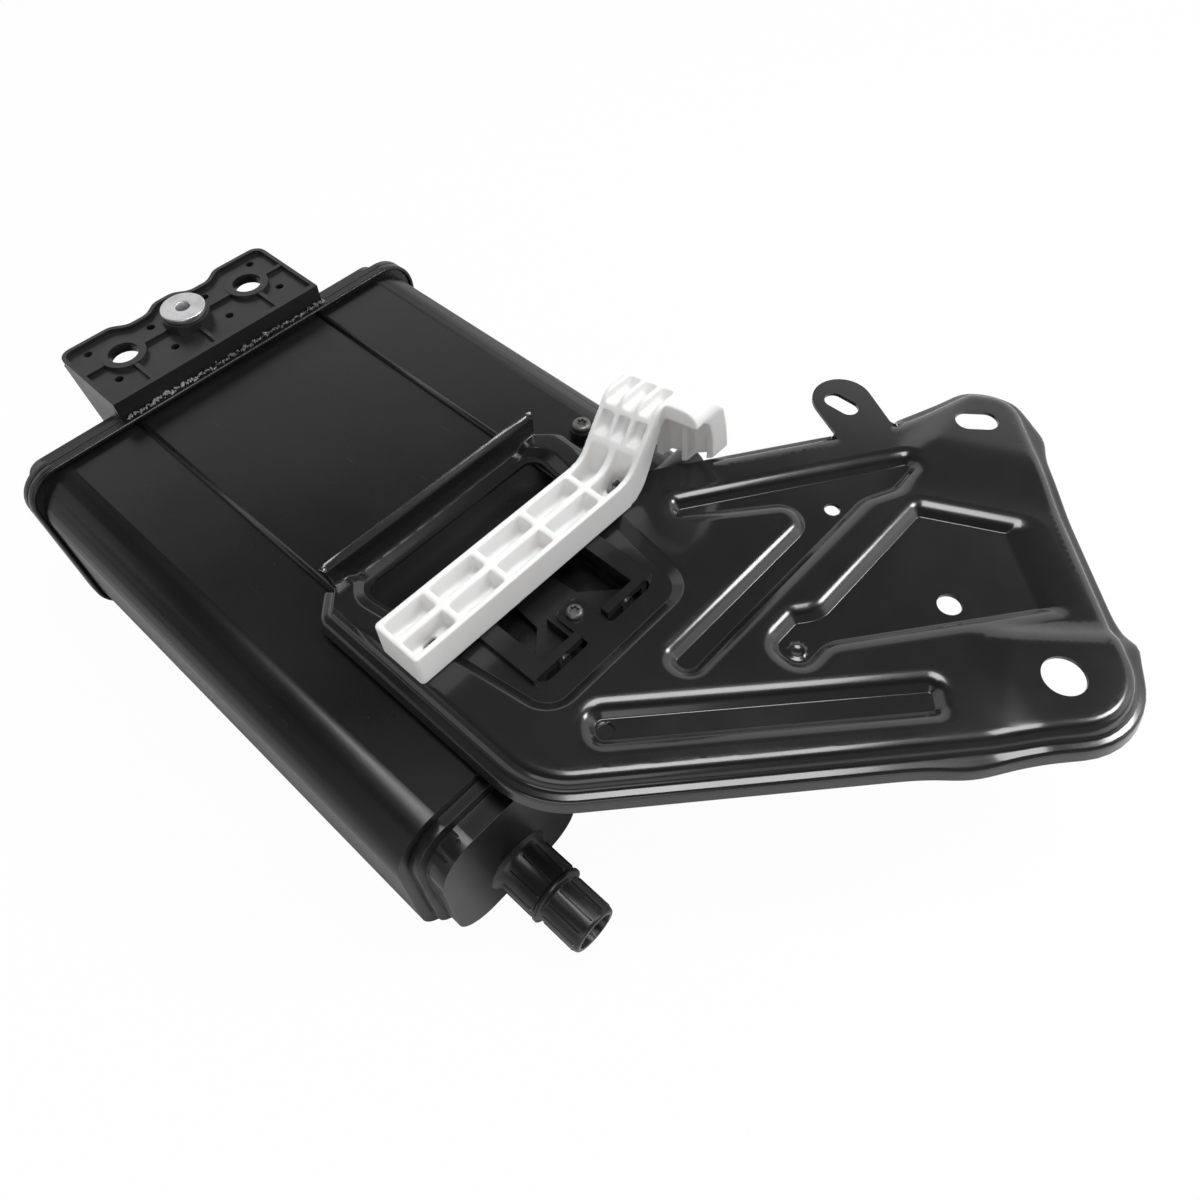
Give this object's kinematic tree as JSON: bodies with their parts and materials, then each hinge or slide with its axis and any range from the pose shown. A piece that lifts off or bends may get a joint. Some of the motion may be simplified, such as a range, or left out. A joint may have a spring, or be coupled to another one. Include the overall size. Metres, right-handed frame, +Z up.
{
  "type": "charcoal canister",
  "caption": "Fuel vapour charcoal canister with a flat moulded body, end ledge, hose port, stamped steel carrier bracket and white ribbed hose guard.",
  "frame": {"origin": "middle of the canister's flat underside", "axes": "+X along the canister towards the hose port, +Y across it towards the vent pipe, +Z up"},
  "size_m": [0.4535, 0.3196, 0.1468],
  "materials": {
    "body_plastic": "satin moulded black",
    "cover_plastic": "satin moulded black",
    "cap_plastic": "satin moulded black",
    "insert_steel": "turned",
    "bracket_paint": "gloss black coat",
    "frame_plastic": "satin moulded black",
    "guard_plastic": "natural white",
    "screw_steel": "zinc plated",
    "charcoal": "granular",
    "grid_plastic": "moulded",
    "fleece": "felted",
    "spring_steel": "drawn wire"
  },
  "bodies": {
    "root": {"canister_body": "body_plastic", "end_cover": "cover_plastic", "port_cap": "cap_plastic", "threaded_insert": "insert_steel", "mounting_bracket": "bracket_paint", "retainer_frame": "frame_plastic", "hose_guard": "guard_plastic", "torx_screws": "screw_steel", "charcoal_bed_main": "charcoal", "charcoal_bed_vent": "charcoal", "port_grid_main": "grid_plastic", "port_grid_vent": "grid_plastic", "port_fleece_main": "fleece", "port_fleece_vent": "fleece", "cover_fleece_main": "fleece", "cover_fleece_vent": "fleece", "pressure_plate_main": "grid_plastic", "pressure_plate_vent": "grid_plastic", "springs_main": "spring_steel", "springs_vent": "spring_steel"}
  },
  "joints": []
}
